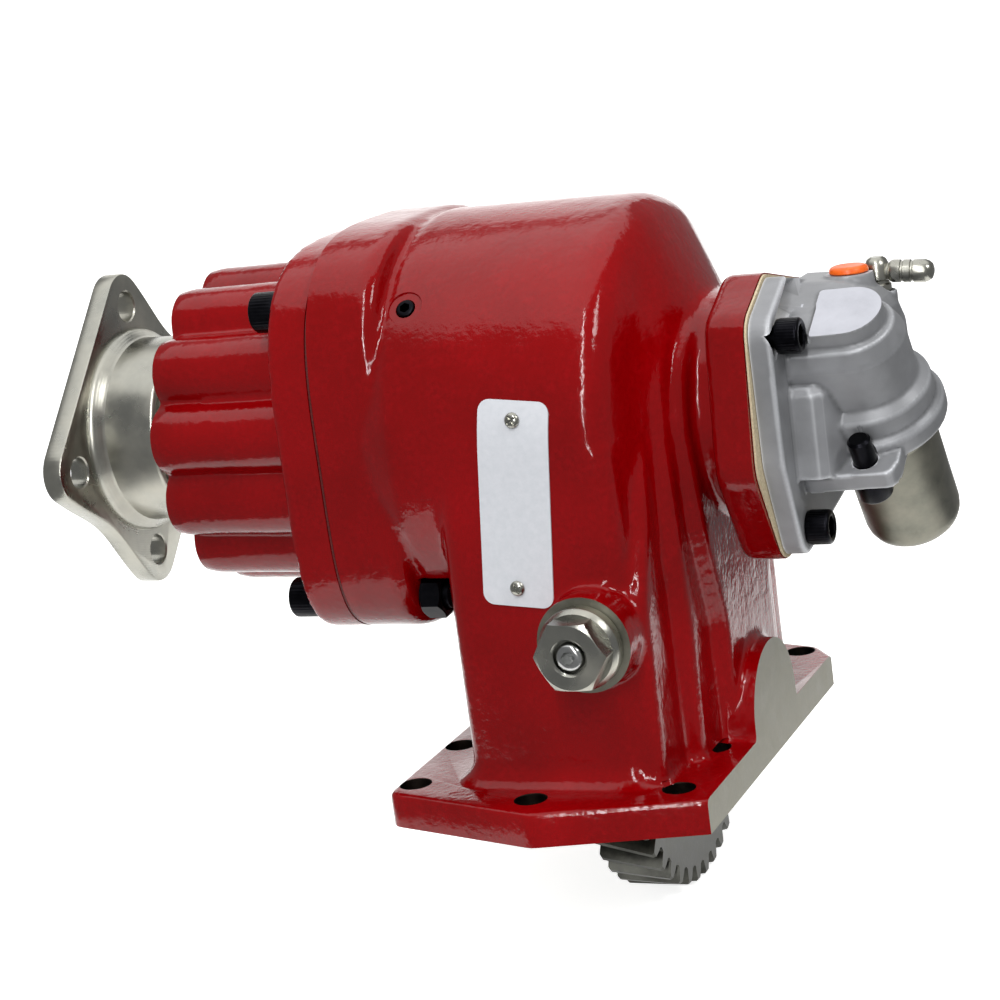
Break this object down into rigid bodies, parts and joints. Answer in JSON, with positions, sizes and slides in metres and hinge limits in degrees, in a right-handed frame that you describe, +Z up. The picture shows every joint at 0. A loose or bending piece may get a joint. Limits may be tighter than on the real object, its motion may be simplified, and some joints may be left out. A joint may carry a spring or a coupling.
{
  "type": "power take off unit",
  "caption": "Side-mounted gearbox power take off with a wet clutch: a helical input gear below the flanged pad, a companion flange on the output shaft and a valve cover opposite.",
  "frame": {"origin": "middle of the mounting pad, on the plane that seats on the gearbox", "axes": "+X along the output shaft towards the valve cover, companion flange at -X; +Z up out of the pad; the label side faces -Y"},
  "size_m": [0.3231, 0.1971, 0.251],
  "materials": {
    "red_enamel": "gloss",
    "cast_alloy": "as cast",
    "zinc_plate": "yellow zinc",
    "gear_steel": "oiled",
    "ground_steel": "ground",
    "black_oxide": "black oxide",
    "gasket_paper": "matte",
    "seal_rubber": "matte",
    "friction_lining": "matte",
    "orange_plastic": "gloss",
    "label_stock": "gloss",
    "spring_steel": "satin"
  },
  "bodies": {
    "housing": {"main_housing": "red_enamel", "end_cap": "red_enamel", "cap_gasket": "gasket_paper", "cover_gasket": "gasket_paper", "cap_screw_near_top": "black_oxide", "cap_screw_far_top": "black_oxide", "cap_screw_near_bottom": "black_oxide", "cap_screw_far_bottom": "black_oxide", "cap_nut_near": "black_oxide", "cap_nut_far": "black_oxide", "oil_seal": "seal_rubber", "front_bearing_outer_race": "ground_steel", "rear_bearing_outer_race": "ground_steel", "idler_shaft": "ground_steel", "input_thrust_washer_left": "ground_steel", "input_thrust_washer_right": "ground_steel", "alloy_cover": "cast_alloy", "cover_screw_1": "black_oxide", "cover_screw_2": "black_oxide", "cover_screw_3": "black_oxide", "cover_screw_4": "black_oxide", "valve_can": "zinc_plate", "orange_cap": "orange_plastic", "elbow_fitting": "zinc_plate", "lug_screw": "black_oxide", "port_fitting": "zinc_plate", "port_stud": "zinc_plate", "pipe_plug": "black_oxide", "label_plate": "label_stock", "drive_screw_1": "zinc_plate", "drive_screw_2": "zinc_plate"},
    "output": {"output_shaft": "ground_steel", "companion_flange": "zinc_plate", "flange_nut": "zinc_plate", "flange_washer": "zinc_plate", "dust_slinger": "zinc_plate", "front_bearing_inner_race": "ground_steel", "rear_bearing_inner_race": "ground_steel", "rear_snap_ring": "spring_steel", "spacer_sleeve": "ground_steel", "gear_thrust_washer": "ground_steel", "backing_washer": "ground_steel", "clutch_cup": "gear_steel", "spring_retainer": "ground_steel", "sleeve_snap_ring": "spring_steel", "piston_spring": "spring_steel", "steel_plate_1": "ground_steel", "steel_plate_2": "ground_steel", "steel_plate_3": "ground_steel", "clutch_end_plate": "ground_steel", "cup_snap_ring": "spring_steel"},
    "front_rollers": {"front_bearing_rollers": "ground_steel"},
    "rear_rollers": {"rear_bearing_rollers": "ground_steel"},
    "clutch_gear_set": {"clutch_gear": "gear_steel", "clutch_needle_cage": "ground_steel", "lined_plate_1": "friction_lining", "lined_plate_2": "friction_lining"},
    "piston": {"clutch_piston": "ground_steel"},
    "input_gear_body": {"input_gear": "gear_steel"},
    "input_needles": {"input_needle_cage": "ground_steel"}
  },
  "joints": [
    {"name": "output_spin", "type": "hinge", "parent": "housing", "child": "output", "pos_m": [0, 0, 0.128], "axis": [1, 0, 0], "continuous": true},
    {"name": "front_rollers_spin", "type": "hinge", "parent": "housing", "child": "front_rollers", "pos_m": [0, 0, 0.128], "axis": [1, 0, 0], "continuous": true},
    {"name": "rear_rollers_spin", "type": "hinge", "parent": "housing", "child": "rear_rollers", "pos_m": [0, 0, 0.128], "axis": [1, 0, 0], "continuous": true},
    {"name": "clutch_gear_spin", "type": "hinge", "parent": "housing", "child": "clutch_gear_set", "pos_m": [0, 0, 0.128], "axis": [1, 0, 0], "continuous": true},
    {"name": "piston_slide", "type": "slide", "parent": "output", "child": "piston", "axis": [1, 0, 0], "range_m": [0, 0.002], "stiffness_N_per_m": 4000, "deforming": ["piston_spring"]},
    {"name": "input_gear_spin", "type": "hinge", "parent": "housing", "child": "input_gear_body", "pos_m": [0, 0, 0.014], "axis": [1, 0, 0], "continuous": true},
    {"name": "input_needles_spin", "type": "hinge", "parent": "housing", "child": "input_needles", "pos_m": [0, 0, 0.014], "axis": [1, 0, 0], "continuous": true}
  ],
  "couplings": [
    {"joint": "clutch_gear_spin", "follows": "input_gear_spin", "ratio": -1.1111},
    {"joint": "front_rollers_spin", "follows": "output_spin", "ratio": 0.4409},
    {"joint": "rear_rollers_spin", "follows": "output_spin", "ratio": 0.4424},
    {"joint": "input_needles_spin", "follows": "input_gear_spin", "ratio": 0.58}
  ]
}
